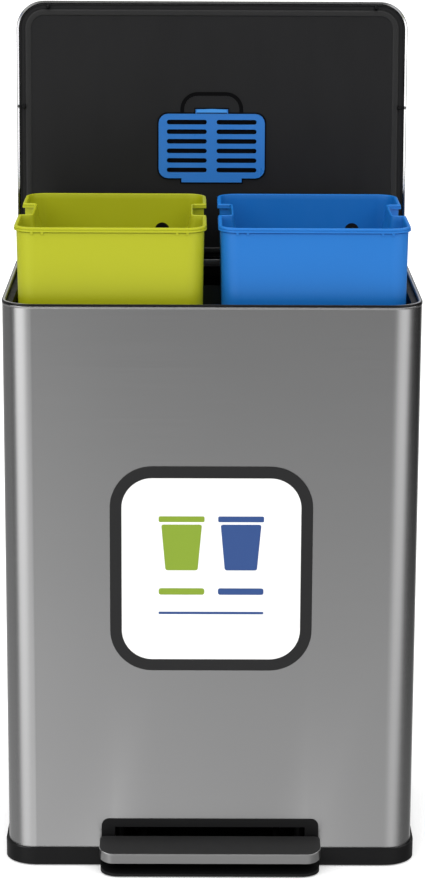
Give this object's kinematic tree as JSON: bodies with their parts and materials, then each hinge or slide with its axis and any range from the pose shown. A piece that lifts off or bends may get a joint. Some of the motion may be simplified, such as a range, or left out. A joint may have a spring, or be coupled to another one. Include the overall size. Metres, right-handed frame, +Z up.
{
  "type": "double recycling bin",
  "caption": "Rectangular brushed-steel pedal bin with a hinged lid, a scent filter in the lid and two lift-out plastic buckets side by side on a black base.",
  "frame": {"origin": "on the floor, under the middle of the whole box, with the lid open and the buckets lifted as pictured", "axes": "+Z up, -Y is the front with the pedal, +X to the right seen from the front"},
  "size_m": [0.497, 0.4052, 1.0111],
  "materials": {
    "brushed_steel": "satin",
    "zinc_steel": "satin",
    "black_plastic": "satin",
    "grey_plastic": "satin",
    "rubber": "matte",
    "green_plastic": "satin",
    "blue_plastic": "satin",
    "charcoal_foam": "matte",
    "badge_grey": "satin",
    "badge_white": "gloss"
  },
  "bodies": {
    "frame": {"base": "black_plastic", "floor_pad_1": "rubber", "floor_pad_2": "rubber", "floor_pad_3": "rubber", "floor_pad_4": "rubber", "floor_pad_5": "rubber", "floor_pad_6": "rubber", "bucket_shelf": "black_plastic", "body_shell": "brushed_steel", "rim_bead": "black_plastic", "top_collar": "black_plastic", "pedal_bezel": "black_plastic", "pedal_axle": "zinc_steel", "axle_bracket_right": "zinc_steel", "axle_bracket_left": "zinc_steel", "bracket_screw_1": "zinc_steel", "bracket_screw_2": "zinc_steel", "bracket_screw_3": "zinc_steel", "bracket_screw_4": "zinc_steel", "hinge_bracket_right": "zinc_steel", "hinge_bracket_left": "zinc_steel", "rod_guide_right": "black_plastic", "rod_guide_left": "black_plastic", "damper_cylinder": "black_plastic", "damper_clip": "black_plastic", "badge_frame": "badge_grey", "badge_face": "badge_white"},
    "lid": {"lid_shell": "brushed_steel", "lid_liner": "grey_plastic", "hinge_arm_right": "zinc_steel", "hinge_arm_left": "zinc_steel", "damper_arm": "zinc_steel", "hinge_pin_right": "zinc_steel", "hinge_pin_left": "zinc_steel", "lid_screw_1": "zinc_steel", "lid_screw_2": "zinc_steel", "lid_screw_3": "zinc_steel", "lid_screw_4": "zinc_steel", "lid_screw_5": "zinc_steel", "lid_screw_6": "zinc_steel", "lid_bumper_1": "rubber", "lid_bumper_2": "rubber", "lid_bumper_3": "rubber", "lid_bumper_4": "rubber", "filter_cartridge": "charcoal_foam"},
    "filter_door": {"filter_cover": "blue_plastic"},
    "pedal": {"pedal_cover": "brushed_steel", "pedal_lever": "black_plastic"},
    "lift_rod_r": {"lift_rod_right": "zinc_steel"},
    "lift_rod_l": {"lift_rod_left": "zinc_steel"},
    "damper_stem": {"damper_rod": "zinc_steel"},
    "bucket_green": {"green_bucket": "green_plastic"},
    "bucket_blue": {"blue_bucket": "blue_plastic"}
  },
  "joints": [
    {"name": "lid_hinge", "type": "hinge", "parent": "frame", "child": "lid", "pos_m": [0, 0.16136, 0.69], "axis": [1, 0, 0], "range_deg": [0, 94.2]},
    {"name": "filter_cover_hinge", "type": "hinge", "parent": "lid", "child": "filter_door", "pos_m": [0, 0.16884, 0.78501], "axis": [1, 0, 0], "range_deg": [0, 22]},
    {"name": "pedal_hinge", "type": "hinge", "parent": "frame", "child": "pedal", "pos_m": [0, -0.04064, 0.03], "axis": [-1, 0, 0], "range_deg": [0, 8.21]},
    {"name": "lift_rod_right_slide", "type": "slide", "parent": "frame", "child": "lift_rod_r", "axis": [0, 0, 1], "range_m": [-0.0271, 0]},
    {"name": "lift_rod_left_slide", "type": "slide", "parent": "frame", "child": "lift_rod_l", "axis": [0, 0, 1], "range_m": [-0.0271, 0]},
    {"name": "damper_slide", "type": "slide", "parent": "frame", "child": "damper_stem", "axis": [0, 0, 1], "range_m": [-0.0271, 0]},
    {"name": "green_bucket_lift", "type": "slide", "parent": "frame", "child": "bucket_green", "axis": [0, 0, 1], "range_m": [-0.1276, 0]},
    {"name": "blue_bucket_lift", "type": "slide", "parent": "frame", "child": "bucket_blue", "axis": [0, 0, 1], "range_m": [-0.1276, 0]}
  ],
  "couplings": [
    {"joint": "pedal_hinge", "follows": "lid_hinge", "ratio": 0.087049},
    {"joint": "lift_rod_right_slide", "follows": "lid_hinge", "m_per_rad": -0.016422},
    {"joint": "lift_rod_left_slide", "follows": "lid_hinge", "m_per_rad": -0.016422},
    {"joint": "damper_slide", "follows": "lid_hinge", "m_per_rad": -0.016422},
    {"joint": "green_bucket_lift", "follows": "lid_hinge", "m_per_rad": -0.07755},
    {"joint": "blue_bucket_lift", "follows": "lid_hinge", "m_per_rad": -0.07755}
  ]
}
